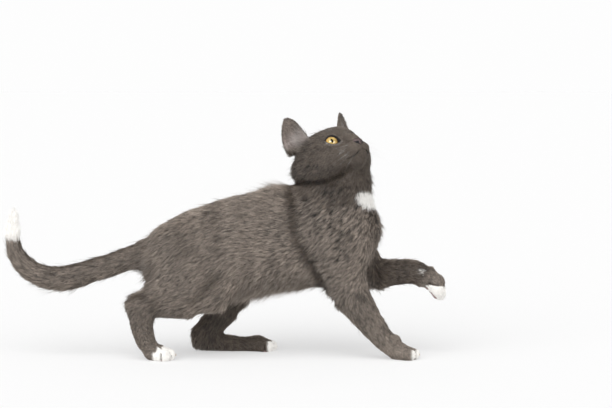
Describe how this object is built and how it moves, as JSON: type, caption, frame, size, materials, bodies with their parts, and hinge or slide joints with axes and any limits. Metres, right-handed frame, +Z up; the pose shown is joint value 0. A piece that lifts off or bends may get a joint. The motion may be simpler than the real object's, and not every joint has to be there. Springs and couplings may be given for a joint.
{
  "type": "kitten figure",
  "caption": "Life-size blue-grey short-haired kitten stepping forward with one forepaw raised and its head turned and tilted up, as a still museum-type model.",
  "frame": {"origin": "on the floor, below the middle of the kitten's bounding box", "axes": "+X forward along the body, +Y to the kitten's left, +Z up"},
  "size_m": [0.4872, 0.096, 0.2665],
  "materials": {
    "grey_fur": "short soft blue-grey fur, matt with a faint sheen",
    "white_fur": "short soft white fur, matt",
    "nose_skin": "fine pebbled skin, slightly moist",
    "eye": "wet and glossy, amber iris with an upright slit pupil",
    "claw": "smooth horn, slightly translucent look",
    "whisker": "smooth white bristle"
  },
  "bodies": {
    "root": {"belly": "grey_fur", "chest": "grey_fur", "head": "grey_fur", "left_ear": "grey_fur", "left_eye": "eye", "left_fore_paw": "grey_fur", "left_forearm": "grey_fur", "left_hind_foot": "grey_fur", "left_hind_paw": "white_fur", "left_shank": "grey_fur", "left_thigh": "grey_fur", "left_upper_arm": "grey_fur", "lower_jaw": "grey_fur", "neck": "grey_fur", "nose": "nose_skin", "right_ear": "grey_fur", "right_eye": "eye", "right_fore_paw": "grey_fur", "right_forearm": "grey_fur", "right_hind_foot": "grey_fur", "right_hind_paw": "white_fur", "right_shank": "grey_fur", "right_thigh": "grey_fur", "right_upper_arm": "grey_fur", "rump": "grey_fur", "tail_base": "grey_fur", "tail_bend": "grey_fur", "tail_middle": "grey_fur", "tail_tip": "white_fur"}
  },
  "joints": []
}
